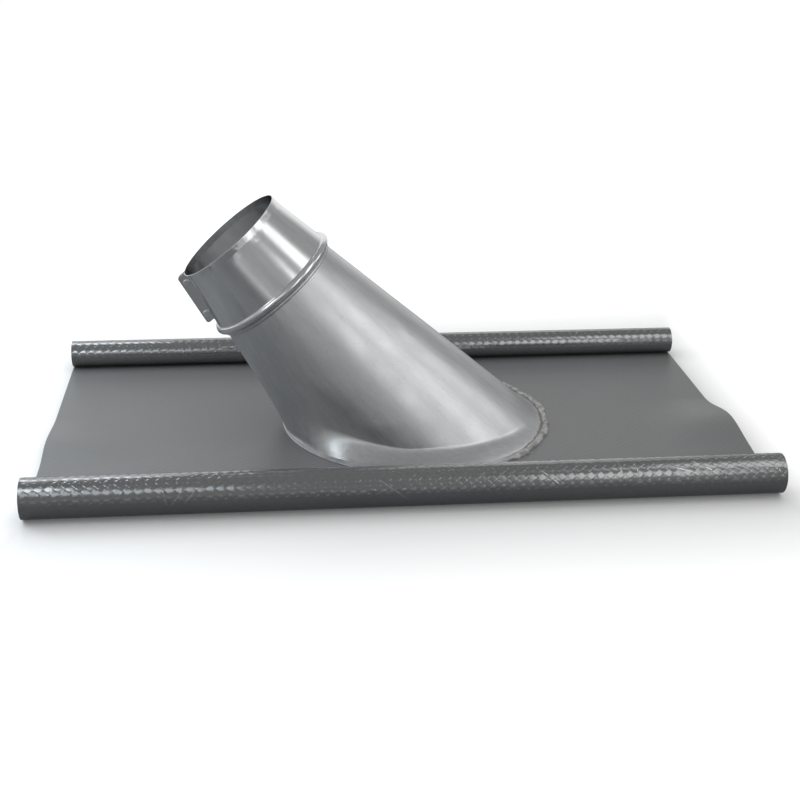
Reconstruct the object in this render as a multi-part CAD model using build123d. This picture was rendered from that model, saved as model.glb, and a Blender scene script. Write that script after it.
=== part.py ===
from build123d import *

import math
import os

# Roof pipe flashing: a leaning metal cone on a soft apron sheet whose two long edges are rolled up.
# A split, tapered collar stands on the cone and is drawn round the flue pipe by two bolts.
# Millimetres. +X runs along the sheet, away from the lean, +Y across it and +Z up from the roof plane.
# The origin is in the middle of the rolled-up sheet, on the roof plane.

# The flue pipe that the flashing takes, and where its axis meets the roof plane
pipe_diameter = 150
pipe_play = 0.15
pipe_lean_deg = 39.8
pipe_x = 8.5
pipe_y = 14

# The apron sheet and its two rolls
sheet_length = 920
sheet_depth = 531
sheet_thickness = 3
near_roll_radius = 25
far_roll_radius = 21
roll_half_turns = 4
turn_gap = 0.8

# The wave that stands in the sheet at each end, with places measured from the near roll's axis
wave_crest_place = 190
left_wave_start = 125
left_wave_end = 288
left_wave_height = 8.4
left_wave_run = 150
right_wave_start = 15
right_wave_end = 298
right_wave_height = 18.7
right_wave_run = 125
right_shoulder_place = 112
right_shoulder_height = 10.4
wave_stations = 4

# The cone, with its seat for the collar measured along the pipe's axis from the roof plane
cone_wall = 1.2
cone_half_angle_deg = 10.2
cone_pipe_gap = 11
seat_distance = 259
cone_lap = 14
stop_bead_radius = 3
stop_bead_play = 0.2

# The cone's foot: a flare that is narrow at the two ends and wide at the sides, and a round flange below it
flare_height = 30
flare_reach_end = 4
flare_reach_side = 32
flare_start_deg = 14
flare_stations = 6
flange_thickness = 1.2
flange_margin = 1.5

# The bead of sealant round the end of the flange that the cone leans away from
sealant_width = 7
sealant_height = 4.2
sealant_start_deg = -62
sealant_end_deg = 66

# The collar: a sheet band with a straight lip, a taper and a rolled hem
collar_wall = 0.9
collar_height = 90
lip_length = 8.5
lip_bend_radius = 3
hem_height = 10
hem_reach = 5.6
hem_bend_radius = 3.9
cove_radius = 1.2
hem_play = 0.3
collar_cone_gap = 2.6

# The collar's split and the two ears that close it, each folded double from the band
split_width = 5
ear_reach = 12
ear_length = 72
ear_corner_radius = 3.5
bolt_inset = 12
bolt_stand_off = 6

# The two clamp bolts and their nuts
bolt_radius = 2.5
hex_flats = 8
hex_corner_cut = 0.6
bolt_head_height = 3.5
nut_height = 4
bolt_tail = 2
bolt_hole_play = 0.25
thread_play = 0.1

# Places that follow from the sizes above
pipe_radius = pipe_diameter / 2
pipe_lean = math.radians(pipe_lean_deg)
cone_half_angle = math.radians(cone_half_angle_deg)
cone_slope = math.tan(cone_half_angle)
near_axis_y = near_roll_radius - sheet_depth / 2
far_axis_y = sheet_depth / 2 - far_roll_radius
flange_top = sheet_thickness + flange_thickness
cone_top_distance = seat_distance + cone_lap
rim_distance = seat_distance + collar_height
pipe_foot = Vector(pipe_x, pipe_y, 0)
pipe_axis = Vector(-math.sin(pipe_lean), 0, math.cos(pipe_lean))
pipe_side = Vector(math.cos(pipe_lean), 0, math.sin(pipe_lean))
pipe_frame = Plane(origin=pipe_foot, x_dir=pipe_side, z_dir=pipe_axis)
lip_radius = pipe_radius + pipe_play
lip_end = rim_distance - lip_length
taper_end = seat_distance + hem_height - collar_wall
ear_thickness = 2 * collar_wall
ear_face = split_width / 2 + ear_thickness


def cone_radius(distance):
    """The cone's outer radius at a distance along the pipe's axis."""
    return pipe_radius + cone_pipe_gap + (seat_distance - distance) * cone_slope


def cone_at(height, angle, inset):
    """Where the straight line up the cone at an angle round its axis reaches a height, for a cone drawn in."""
    spoke = pipe_side * math.cos(angle) + Vector(0, math.sin(angle), 0)
    start = pipe_foot + spoke * (cone_radius(0) - inset / math.cos(cone_half_angle))
    way = pipe_axis - spoke * cone_slope
    return start + way * ((height - start.Z) / way.Z)


def cone_section(height, inset=0):
    """The ellipse in which a level plane cuts the cone: its centre, its half length and its half width."""
    away = cone_at(height, 0, inset)
    under_lean = cone_at(height, math.pi, inset)
    eccentricity = math.sin(pipe_lean) / math.cos(cone_half_angle)
    half_length = (away - under_lean).length / 2
    return (away + under_lean) * 0.5, half_length, half_length * math.sqrt(1 - eccentricity**2)


# The cone's outline on top of the flange, and the round flange that shares its centre
foot_centre, foot_half_length, foot_half_width = cone_section(flange_top)
flange_radius = foot_half_length + flare_reach_end + flange_margin


def sheet_roll(axis_y, radius, outward):
    """A long edge of the sheet wound up and inwards, as half turns that get smaller by half a pitch."""
    pitch = sheet_thickness + turn_gap
    outer = []
    inner = []
    face_z = 0
    for half_turn in range(roll_half_turns):
        way = 1 if half_turn % 2 == 0 else -1
        turn_radius = radius - half_turn * pitch / 2
        centre = (axis_y, face_z + way * turn_radius)
        outer.append(CenterArc(centre, turn_radius, -90 * way, 180 * outward))
        inner.append(CenterArc(centre, turn_radius - sheet_thickness, -90 * way, 180 * outward))
        face_z += 2 * way * turn_radius
    ends = [Line(outer[0] @ 0, inner[0] @ 0), Line(outer[-1] @ 1, inner[-1] @ 1)]
    section = make_face([*outer, *inner, *ends])
    return extrude(Plane.YZ.offset(-sheet_length / 2) * section, sheet_length)


def wave_section(x, share, start, end, points):
    """The sheet's section between its rolls, raised to a share of a wave's full height."""
    level = (1, 0)
    wave = [(near_axis_y + start, 0)]
    wave += [(near_axis_y + place, share * height) for place, height in points]
    wave += [(near_axis_y + end, 0)]
    under = [
        Line((near_axis_y, 0), wave[0]),
        Spline(*wave, tangents=[level, level]),
        Line(wave[-1], (far_axis_y, 0)),
    ]
    over = [Pos(0, sheet_thickness) * edge for edge in under]
    sides = [
        Line((near_axis_y, 0), (near_axis_y, sheet_thickness)),
        Line((far_axis_y, 0), (far_axis_y, sheet_thickness)),
    ]
    return Plane.YZ.offset(x) * make_face([*under, *over, *sides])


def wave_panel(edge_x, run, start, end, points):
    """The end of the sheet: its wave is highest at the cut edge and dies away smoothly over the run."""
    sections = []
    for station in range(wave_stations):
        way_in = station / (wave_stations - 1)
        share = 1 - way_in**2 * (3 - 2 * way_in)
        x = edge_x - math.copysign(way_in * run, edge_x)
        sections.append(wave_section(x, share, start, end, points))
    return loft(sections)


def make_sheet():
    """The apron sheet: flat in the middle with a hole for the pipe, waved at its ends, rolled at its sides."""
    half = sheet_length / 2
    flat_start = left_wave_run - half
    flat_end = half - right_wave_run
    flat = Pos(flat_start, near_axis_y) * Box(
        flat_end - flat_start, far_axis_y - near_axis_y, sheet_thickness, align=Align.MIN
    )
    left_points = [(wave_crest_place, left_wave_height)]
    left = wave_panel(-half, left_wave_run, left_wave_start, left_wave_end, left_points)
    right_points = [(right_shoulder_place, right_shoulder_height), (wave_crest_place, right_wave_height)]
    right = wave_panel(half, right_wave_run, right_wave_start, right_wave_end, right_points)
    near_roll = sheet_roll(near_axis_y, near_roll_radius, -1)
    far_roll = sheet_roll(far_axis_y, far_roll_radius, 1)
    hole = Pos(foot_centre.X, pipe_y) * extrude(Ellipse(foot_half_length, foot_half_width), sheet_thickness)
    return flat + left + right + near_roll + far_roll - hole


def foot_flare(base_z, inset):
    """The flare as a solid: ellipses that shrink along a hollow curve from the flange up to the cone."""
    start = math.radians(flare_start_deg)
    ellipses = []
    for station in range(flare_stations + 1):
        turn = start + (math.pi / 2 - start) * station / flare_stations
        height = base_z + flare_height * (1 - math.cos(turn) / math.cos(start))
        spread = (1 - math.sin(turn)) / (1 - math.sin(start))
        centre, half_length, half_width = cone_section(height, inset)
        outline = Ellipse(half_length + spread * flare_reach_end, half_width + spread * flare_reach_side)
        ellipses.append(Pos(centre) * outline)
    return loft(ellipses)


def cone_body(base_z, inset, top_distance):
    """The cone as a solid, drawn in by an inset, with its flare on a disc whose top is at a height."""
    low = (cone_at(base_z, 0, inset) - pipe_foot).dot(pipe_axis)
    inset_radius = inset / math.cos(cone_half_angle)
    frustum = Cone(
        cone_radius(low) - inset_radius,
        cone_radius(top_distance) - inset_radius,
        top_distance - low,
        align=(Align.CENTER, Align.CENTER, Align.MIN),
    )
    leaning = pipe_frame * Pos(0, 0, low) * frustum
    above = split(leaning, Plane(origin=(0, 0, base_z + flare_height)), keep=Keep.TOP)
    disc = Cylinder(flange_radius, flange_thickness, align=(Align.CENTER, Align.CENTER, Align.MAX))
    foot = foot_flare(base_z, inset) + Pos(foot_centre.X, pipe_y, base_z) * disc
    return foot + above


def make_cone():
    """The cone: one formed shell with a flared foot, a round flange and a small bead that stops the collar."""
    outside = cone_body(flange_top, 0, cone_top_distance)
    bead_distance = seat_distance - stop_bead_play - stop_bead_radius
    bead = Pos(0, 0, bead_distance) * Torus(cone_radius(bead_distance), stop_bead_radius)
    inside = cone_body(sheet_thickness, cone_wall, cone_top_distance + cone_wall)
    return outside + pipe_frame * bead - inside


def make_sealant():
    """A rounded bead of sealant on the sheet, against part of the flange's edge."""
    inner = flange_radius
    low = sheet_thickness
    back = EllipticalCenterArc((inner, low), sealant_width, sealant_height, arc_size=90)
    section = make_face([back, Polyline(back @ 1, (inner, low), back @ 0)])
    turned = Rot(0, 0, sealant_start_deg) * (Plane.XZ * section)
    bead = revolve(turned, Axis.Z, sealant_end_deg - sealant_start_deg)
    return Pos(foot_centre.X, pipe_y) * bead


# The collar and its bolts are drawn about the pipe's axis as +Z, with the split on the -X side under the lean
hem_radius = cone_radius(seat_distance) + collar_cone_gap


def band_radius(distance):
    """The inner radius of the collar's lip or taper at a distance along the pipe's axis."""
    down = max(lip_end - distance, 0) / (lip_end - taper_end)
    return lip_radius + down * (hem_radius - lip_radius)


def bolt_places():
    """Where the upper and the lower bolt cross the ears, as X and Z in the collar's own frame."""
    for name, drop in (("upper", bolt_inset), ("lower", ear_length - bolt_inset)):
        distance = rim_distance - drop
        yield name, -band_radius(distance) - collar_wall - bolt_stand_off, distance


def make_ears():
    """The two ears, bent out beside the split and bored for the bolts."""
    ear_end = rim_distance - ear_length
    root = collar_wall / 2
    tip = collar_wall + ear_reach
    corners = [
        (-lip_radius - root, rim_distance),
        (-lip_radius - tip, rim_distance),
        (-band_radius(ear_end) - tip, ear_end),
        (-band_radius(ear_end) - root, ear_end),
    ]
    outer_side = FilletPolyline(*corners, radius=ear_corner_radius)
    band_side = Polyline(corners[-1], (-lip_radius - root, lip_end), corners[0])
    outline = make_face([outer_side, band_side])
    ear = extrude(Plane.XZ.offset(split_width / 2) * outline, ear_thickness)
    ears = ear + mirror(ear, Plane.XZ)
    bore = Rot(90, 0, 0) * Cylinder(bolt_radius + bolt_hole_play, 4 * ear_face)
    for _, x, distance in bolt_places():
        ears -= Pos(x, 0, distance) * bore
    return ears


def make_collar():
    """The collar: a band formed with a lip, a taper and a hem, split under the lean, with two bolted ears."""
    hem_low = seat_distance + collar_wall
    path = FilletPolyline(
        (lip_radius, rim_distance),
        (lip_radius, lip_end),
        (hem_radius, taper_end),
        (hem_radius + hem_reach, taper_end),
        (hem_radius + hem_reach, hem_low),
        (cone_radius(seat_distance) + hem_play, hem_low),
        radius=[lip_bend_radius, cove_radius, hem_bend_radius, hem_bend_radius],
    )
    band = revolve(Plane.XZ * make_face(offset(path, collar_wall, side=Side.LEFT)), Axis.Z)
    reach = hem_radius + 2 * hem_reach
    gap = Box(reach, split_width, 2 * rim_distance, align=(Align.MAX, Align.CENTER, Align.CENTER))
    return pipe_frame * (band - gap + make_ears())


def hexagon(height):
    """A six-sided head or nut that stands on Z = 0, with the corners of its free end cut round."""
    flats = extrude(RegularPolygon(hex_flats / 2, 6, major_radius=False), height)
    turned = Cylinder(hex_flats / math.sqrt(3), height, align=(Align.CENTER, Align.CENTER, Align.MIN))
    free_end = turned.edges().sort_by(Axis.Z)[-1]
    return flats & chamfer(free_end, hex_corner_cut)


def make_bolt(x, distance):
    """A clamp bolt: its head lies on the near ear and its shank runs through both ears and the nut."""
    length = 2 * ear_face + nut_height + bolt_tail
    shank = Cylinder(bolt_radius, length, align=(Align.CENTER, Align.CENTER, Align.MIN))
    bolt = hexagon(bolt_head_height) + Rot(180, 0, 0) * shank
    return pipe_frame * Pos(x, -ear_face, distance) * Rot(90, 0, 0) * bolt


def make_nut(x, distance):
    """A clamp nut, which lies on the far ear."""
    nut = hexagon(nut_height) - Cylinder(bolt_radius + thread_play, 3 * nut_height)
    return pipe_frame * Pos(x, ear_face, distance) * Rot(-90, 0, 0) * nut


pieces = {
    "apron_sheet": make_sheet(),
    "cone": make_cone(),
    "sealant_bead": make_sealant(),
    "storm_collar": make_collar(),
}
for name, x, distance in bolt_places():
    pieces[f"{name}_clamp_bolt"] = make_bolt(x, distance)
    pieces[f"{name}_clamp_nut"] = make_nut(x, distance)

os.makedirs("parts", exist_ok=True)
for name, piece in pieces.items():
    export_step(piece, f"parts/{name}.step")
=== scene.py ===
# %% [markdown]
# # A roof pipe flashing, dressed in Blender
# The object is a leaning aluminium cone on a soft apron sheet, with a split collar that clamps a flue pipe.
# Its pieces were built to size elsewhere, and they come in here as a fixed frame. This lesson gives them
# their finish: it remakes the embossed sheet, the cone with its hand-worked foot and the bolts, lays the
# sealant and paints the metals. Lengths are metres, +Z is up and the sheet lies on Z = 0.

# %% Load the frame
import math

import bpy
import numpy as np
from mathutils import Matrix, Vector, noise


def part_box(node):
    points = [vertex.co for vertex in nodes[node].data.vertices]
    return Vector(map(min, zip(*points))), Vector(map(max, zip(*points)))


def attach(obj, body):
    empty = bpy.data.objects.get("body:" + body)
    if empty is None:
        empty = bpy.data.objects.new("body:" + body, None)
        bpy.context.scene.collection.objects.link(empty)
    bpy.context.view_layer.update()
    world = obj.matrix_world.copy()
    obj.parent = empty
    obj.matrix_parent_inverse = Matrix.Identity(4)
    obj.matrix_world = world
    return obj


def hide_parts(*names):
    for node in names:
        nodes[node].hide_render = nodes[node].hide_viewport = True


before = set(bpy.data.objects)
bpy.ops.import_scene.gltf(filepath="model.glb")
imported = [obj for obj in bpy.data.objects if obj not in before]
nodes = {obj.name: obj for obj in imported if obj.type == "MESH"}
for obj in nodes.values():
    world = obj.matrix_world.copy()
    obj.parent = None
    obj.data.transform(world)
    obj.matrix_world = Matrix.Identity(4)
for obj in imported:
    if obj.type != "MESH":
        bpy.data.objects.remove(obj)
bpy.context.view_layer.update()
MM = 0.001
print("nodes:", sorted(nodes))

# %% [markdown]
# ## Small tools for meshes
# A sheet, a bead and a thread are all a list of points and a list of faces, so one function turns such
# lists into an object. A second one joins rings of points, one on top of the other, which is how round things
# are made here. A third one works out what modifiers do and keeps the result as a plain mesh.

# %% Make an object from points and faces
def piece_from(name, points, faces, sharp_deg=40):
    """A smooth-shaded mesh object whose edges stay sharp beyond an angle."""
    mesh = bpy.data.meshes.new(name)
    mesh.from_pydata(points, [], faces)
    mesh.validate()
    mesh.shade_smooth()
    mesh.set_sharp_from_angle(angle=math.radians(sharp_deg))
    piece = bpy.data.objects.new(name, mesh)
    bpy.context.scene.collection.objects.link(piece)
    return piece


def stack_rings(name, rings, closed=False):
    """A skin over rings of equally many points. A closed stack meets itself, an open one gets two lids."""
    size = len(rings[0])
    points = [point for ring in rings for point in ring]
    numbers = [list(range(index * size, (index + 1) * size)) for index in range(len(rings))]
    following = numbers[1:] + numbers[:1] if closed else numbers[1:]
    faces = [] if closed else [numbers[0][::-1], numbers[-1]]
    for low, high in zip(numbers, following):
        for index in range(size):
            after = (index + 1) % size
            faces.append([low[index], low[after], high[after], high[index]])
    return piece_from(name, points, faces)


def settle_modifiers(piece):
    """Replaces the mesh by what its modifiers make of it."""
    graph = bpy.context.evaluated_depsgraph_get()
    mesh = bpy.data.meshes.new_from_object(piece.evaluated_get(graph))
    piece.modifiers.clear()
    piece.data = mesh


# %% [markdown]
# ## The apron sheet: where every point of it lies
# The sheet is about 3 mm thick and soft, so it is delivered with its long edges rolled up. A roll is wound as
# half turns, each a little tighter than the last, and the flat web between the rolls waves at its two ends.
# One function answers for the whole sheet: it takes a place along X, a distance across the unrolled sheet and
# a depth below the back face, which is the face that shows on the outside of the rolls.

# %% Sizes of the sheet
sheet_low, sheet_high = (Vector(corner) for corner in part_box("apron_sheet"))
SHEET_LENGTH = sheet_high.x - sheet_low.x
SHEET_THICKNESS = 3 * MM
NEAR_ROLL_RADIUS = 25 * MM
FAR_ROLL_RADIUS = 21 * MM
ROLL_HALF_TURNS = 4
TURN_PITCH = SHEET_THICKNESS + 0.8 * MM
near_axis = sheet_low.y + NEAR_ROLL_RADIUS
far_axis = sheet_high.y - FAR_ROLL_RADIUS
WEB = far_axis - near_axis


def wound_length(radius):
    """How much of the sheet a roll takes up, for a first half turn of that radius."""
    return sum(math.pi * (radius - turn * TURN_PITCH / 2) for turn in range(ROLL_HALF_TURNS))


near_wound = wound_length(NEAR_ROLL_RADIUS)
far_wound = wound_length(FAR_ROLL_RADIUS)

# %% The rolls
def roll_point(axis_y, radius, outward, way_in, depth):
    """The Y and Z at a distance wound into a roll, at a depth below its outer face."""
    face_z = 0
    for half_turn in range(ROLL_HALF_TURNS):
        way = 1 if half_turn % 2 == 0 else -1
        turn_radius = radius - half_turn * TURN_PITCH / 2
        if way_in <= math.pi * turn_radius or half_turn == ROLL_HALF_TURNS - 1:
            break
        way_in -= math.pi * turn_radius
        face_z += 2 * way * turn_radius
    angle = way_in / turn_radius
    reach = turn_radius - depth
    y = axis_y + way * outward * reach * math.sin(angle)
    z = face_z + way * (turn_radius - reach * math.cos(angle))
    return y, z


print(f"wound into the rolls: {near_wound:.3f} m near, {far_wound:.3f} m far")

# %% The waves at the two ends
LEFT_WAVE = [(125 * MM, 0), (190 * MM, 8.4 * MM), (288 * MM, 0)]
RIGHT_WAVE = [(15 * MM, 0), (112 * MM, 10.4 * MM), (190 * MM, 18.7 * MM), (298 * MM, 0)]
LEFT_WAVE_RUN = 150 * MM
RIGHT_WAVE_RUN = 125 * MM


def smooth_step(share):
    """A ramp from 0 to 1 that starts and ends level."""
    share = min(max(share, 0), 1)
    return share * share * (3 - 2 * share)


def wave_height(points, place):
    """The height of a smooth curve through the points, level at both of its ends."""
    slopes = [0]
    for before, after in zip(points, points[2:]):
        slopes.append((after[1] - before[1]) / (after[0] - before[0]))
    slopes.append(0)
    for index, (start, end) in enumerate(zip(points, points[1:])):
        run = end[0] - start[0]
        t = (place - start[0]) / run
        if 0 <= t <= 1:
            rise = smooth_step(t)
            lift_out = t * (1 - t) ** 2 * run * slopes[index]
            lift_in = t * t * (t - 1) * run * slopes[index + 1]
            return start[1] + (end[1] - start[1]) * rise + lift_out + lift_in
    return 0


def web_height(x, place):
    """How high the web lies above the roof plane."""
    left_share = 1 - smooth_step((x - sheet_low.x) / LEFT_WAVE_RUN)
    right_share = 1 - smooth_step((sheet_high.x - x) / RIGHT_WAVE_RUN)
    return left_share * wave_height(LEFT_WAVE, place) + right_share * wave_height(RIGHT_WAVE, place)


def sheet_point(x, across, depth):
    """A point of the sheet, across from the near roll's foot, at a depth below the back face."""
    if across < 0:
        return (x, *roll_point(near_axis, NEAR_ROLL_RADIUS, -1, -across, depth))
    if across > WEB:
        return (x, *roll_point(far_axis, FAR_ROLL_RADIUS, 1, across - WEB, depth))
    return x, near_axis + across, web_height(x, across) + depth


print(f"left end, half way across: {web_height(sheet_low.x, WEB / 2) / MM:.1f} mm high")

# %% [markdown]
# ## The apron sheet: the embossed face
# The sheet is embossed all over with small pillows in a lozenge lattice, about 12 mm apart. It could be a
# bump map alone, but the rolls show the pillows against the light, so they are real here. The skin is made of
# rows that run along X. Rows with pillows have four cells to each lozenge, and rows that nobody sees, inside
# the rolls and under the web, have far fewer. Where a fine row meets a coarse one, long faces take up the
# change.

# %% Lozenges
LOZENGES_ALONG = 77
LOZENGES_ACROSS_WEB = 44
CELLS_TO_A_LOZENGE = 4
lozenge_x = SHEET_LENGTH / LOZENGES_ALONG
lozenge_y = WEB / LOZENGES_ACROSS_WEB
EMBOSS_DEPTH = 0.15 * MM


def groove(along, across):
    """How deep the emboss lies below the pillows' tops."""
    one = math.sin(math.pi * (along / lozenge_x + across / lozenge_y))
    other = math.sin(math.pi * (along / lozenge_x - across / lozenge_y))
    return EMBOSS_DEPTH * (1 - math.sqrt(abs(one * other)))


print(f"lozenges: {lozenge_x / MM:.2f} by {lozenge_y / MM:.2f} mm")

# %% Rows of the skin, once round the sheet's section
FINE_CELLS = LOZENGES_ALONG * CELLS_TO_A_LOZENGE
WEB_BACK_CELLS = LOZENGES_ALONG
INSIDE_CELLS = 11
ROW_STEP = lozenge_y / CELLS_TO_A_LOZENGE
INSIDE_STEP = 2 * MM
SEEN_TURNS = 1.95
near_rows = int(SEEN_TURNS * math.pi * NEAR_ROLL_RADIUS / ROW_STEP)
far_rows = int(SEEN_TURNS * math.pi * FAR_ROLL_RADIUS / ROW_STEP)
web_rows = LOZENGES_ACROSS_WEB * CELLS_TO_A_LOZENGE


def inside_rows(start, end):
    """Coarse rows at even places from start to end, both included."""
    count = round(abs(end - start) / INSIDE_STEP)
    return [(start + (end - start) * index / count, INSIDE_CELLS) for index in range(count + 1)]


near_seen = near_rows * ROW_STEP
far_seen = WEB + far_rows * ROW_STEP
back_rows = inside_rows(-near_wound, -near_seen - INSIDE_STEP)
back_rows += [(-row * ROW_STEP, FINE_CELLS) for row in range(near_rows, -1, -1)]
back_rows += [(row * lozenge_y, WEB_BACK_CELLS) for row in range(1, LOZENGES_ACROSS_WEB)]
back_rows += [(WEB + row * ROW_STEP, FINE_CELLS) for row in range(far_rows + 1)]
back_rows += inside_rows(far_seen + INSIDE_STEP, WEB + far_wound)
front_rows = inside_rows(WEB + far_wound, WEB + INSIDE_STEP)
front_rows += [(row * ROW_STEP, FINE_CELLS) for row in range(web_rows, -1, -1)]
front_rows += inside_rows(-INSIDE_STEP, -near_wound)
print(f"{len(back_rows)} rows on the back face, {len(front_rows)} on the front")

# %% Where the metal flange lies on the sheet, the emboss is pressed flat
FLANGE_PRESS = 3 * MM
cone_low, cone_high = (Vector(corner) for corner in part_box("cone"))
flange_radius = (cone_high.y - cone_low.y) / 2
flange_centre = Vector((cone_high.x - flange_radius, (cone_low.y + cone_high.y) / 2))


def standing(x, y):
    """0 under the flange, where the pillows are pressed flat, and 1 clear of it."""
    away = (Vector((x, y)) - flange_centre).length
    return smooth_step((away - flange_radius) / FLANGE_PRESS)


print(f"flange: radius {flange_radius / MM:.2f} mm, centre at X {flange_centre.x / MM:.2f} mm")

# %% Points and faces of the skin
def skin_row(across, cells, front):
    """One row of points along the sheet, with its emboss if it is a fine row."""
    row = []
    for cell in range(cells + 1):
        along = SHEET_LENGTH * cell / cells
        x = sheet_low.x + along
        sunk = groove(along, across) if cells == FINE_CELLS else 0
        if front:
            sunk *= standing(x, near_axis + across)
            row.append(sheet_point(x, across, SHEET_THICKNESS - sunk))
        else:
            row.append(sheet_point(x, across, sunk))
    return row


def faces_between(first, second, row_number):
    """Faces that join two rows of point numbers. Even rows are split along the grooves of the lattice."""
    if len(first) < len(second):
        return [face[::-1] for face in faces_between(second, first, row_number)]
    share = (len(first) - 1) // (len(second) - 1)
    faces = []
    for cell in range(len(second) - 1):
        face = [second[cell], second[cell + 1], *first[cell * share : (cell + 1) * share + 1][::-1]]
        if share == 1 and (cell + row_number) % 2 == 1:
            face = face[1:] + face[:1]
        faces.append(face)
    return faces


points = []
places = []
rows = []
for front, row_list in ((False, back_rows), (True, front_rows)):
    for across, cells in row_list:
        rows.append(list(range(len(points), len(points) + cells + 1)))
        points += skin_row(across, cells, front)
        places += [(cell / cells * LOZENGES_ALONG, across / lozenge_y) for cell in range(cells + 1)]

BACK, FRONT, EDGE = range(3)
faces = []
face_slots = []
for number, (across, cells) in enumerate(back_rows + front_rows):
    strip = faces_between(rows[number], rows[(number + 1) % len(rows)], round(across / ROW_STEP))
    faces += strip
    face_slots += [BACK if number < len(back_rows) else FRONT] * len(strip)
faces += [[row[0] for row in rows[::-1]], [row[-1] for row in rows]]
face_slots += [EDGE, EDGE]
apron = piece_from("apron", points, faces)
for finish in ("sheet_back", "sheet_front", "sheet_edge"):
    apron.data.materials.append(bpy.data.materials.new(finish))
apron.data.polygons.foreach_set("material_index", face_slots)
print(f"apron: {len(points)} points, {len(faces)} faces")

# %% [markdown]
# ## The hole for the pipe
# The sheet is cut out in an ellipse where the leaning pipe comes through it. The fine skin knows nothing of
# that, so the hole is cut afterwards, by a boolean with a plug of the same outline. The plug is thrown away.
# The skin gets its lattice as UV places before the cut, so that the finish can follow the pillows.

# %% Cut the hole
HOLE_HALF_LENGTH = 175.25 * MM
HOLE_HALF_WIDTH = 133.1 * MM
HOLE_CORNERS = 160
PLUG_REACH = 5 * MM


def hole_ring(z):
    """The hole's outline at a height."""
    turns = [math.tau * corner / HOLE_CORNERS for corner in range(HOLE_CORNERS)]
    along = [flange_centre.x + HOLE_HALF_LENGTH * math.cos(turn) for turn in turns]
    across = [flange_centre.y + HOLE_HALF_WIDTH * math.sin(turn) for turn in turns]
    return [(x, y, z) for x, y in zip(along, across)]


plug = stack_rings("plug", [hole_ring(-PLUG_REACH), hole_ring(SHEET_THICKNESS + PLUG_REACH)])
plug.data.materials.append(apron.data.materials[EDGE])

uv = apron.data.uv_layers.new(name="lozenges")
loop_points = np.empty(len(apron.data.loops), dtype=np.int32)
apron.data.loops.foreach_get("vertex_index", loop_points)
uv.data.foreach_set("uv", np.array(places, dtype=np.float32)[loop_points].ravel())

cut = apron.modifiers.new("hole", "BOOLEAN")
cut.operation = "DIFFERENCE"
cut.object = plug
settle_modifiers(apron)
bpy.data.objects.remove(plug)
triangles = sum(len(face.vertices) - 2 for face in apron.data.polygons)
print(f"apron with its hole: {triangles} triangles")

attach(apron, "root")
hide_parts("apron_sheet")

# %% [markdown]
# ## The sealant
# Someone ran a bead of sealant along the flange's edge, on the side that the cone leans away from. It laps
# the edge, stands off it in places and thins out at its ends. It could be sculpted, but a swept half ellipse
# is easier to change: smooth noise of a few sizes makes it swell, shrink and wander.

# %% Sizes of the bead, and its lumps as an amount, a count along the bead and a seed
SEALANT_WIDTH = 9 * MM
SEALANT_HEIGHT = 4.2 * MM
SEALANT_START_DEG = -62
SEALANT_END_DEG = 66
SEALANT_STATIONS = 260
SEALANT_CORNERS = 14
SEALANT_TAPER = 0.12
SEALANT_END_SHARE = 0.02
SEALANT_BLUNT = 0.8
SEALANT_LAP = 4 * MM
SEALANT_CRACK = 2.4 * MM
CRACK_MEAN, CRACK_LEAST = 0.2, 0.1
SEALANT_ROUGH = 1.2 * MM
ROUGH_ALONG, ROUGH_ROUND, ROUGH_SEED = 110, 1.6, 4.2
SLOW_SWELL = (0.45, 24, 3.1)
QUICK_SWELL = (0.3, 60, 7.7)
WIDE_SPOTS = (0.4, 16, 1.3)
CRACKS = (1, 14, 9.2)
NOISE_LAYER = 0.5


def lumps(place, amount, count, seed):
    """Smooth noise of an amount, up and down along the bead."""
    return amount * noise.noise(Vector((place * count, seed, NOISE_LAYER)))


# %% Lay the bead
def sealant_ring(share):
    """The bead's section at a share of its way, from its inner foot over the top to its outer foot."""
    angle = math.radians(SEALANT_START_DEG + share * (SEALANT_END_DEG - SEALANT_START_DEG))
    spoke = Vector((math.cos(angle), math.sin(angle)))
    from_end = smooth_step(min(share, 1 - share) / SEALANT_TAPER)
    taper = SEALANT_END_SHARE + (1 - SEALANT_END_SHARE) * from_end
    swell = 1 + lumps(share, *SLOW_SWELL) + lumps(share, *QUICK_SWELL)
    width = SEALANT_WIDTH * taper * swell * (1 + lumps(share, *WIDE_SPOTS))
    height = SEALANT_HEIGHT * taper * swell
    crack = SEALANT_CRACK * max(CRACK_MEAN + lumps(share, *CRACKS), CRACK_LEAST)
    section = []
    for corner in range(SEALANT_CORNERS + 1):
        turn = math.pi * corner / SEALANT_CORNERS
        out = flange_radius - SEALANT_LAP * taper + crack + width * (1 - math.cos(turn)) / 2
        grit = noise.noise(Vector((share * ROUGH_ALONG, turn * ROUGH_ROUND, ROUGH_SEED)))
        rise = height * math.sin(turn) ** SEALANT_BLUNT + SEALANT_ROUGH * taper * grit * math.sin(turn)
        section.append((*(flange_centre + spoke * out), SHEET_THICKNESS + rise))
    return section


stations = [station / SEALANT_STATIONS for station in range(SEALANT_STATIONS + 1)]
sealant = stack_rings("sealant", [sealant_ring(share) for share in stations])
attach(sealant, "root")
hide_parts("sealant_bead")
print(f"sealant: {len(sealant.data.polygons)} faces")

# %% [markdown]
# ## The cone
# The cone is formed from one sheet of soft aluminium, and its foot is dressed out into the round flange by
# hand. That flare climbs the cone on the side under the lean and stays low elsewhere. It could be modelled by
# pulling at a mesh, but two steps give each point exactly: a place on the plain leaning cone, and then a push
# outwards where the flare runs. The wall has an outside and an inside, which meet at the mouth and under the
# flange, so the rings close up with themselves.

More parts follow.
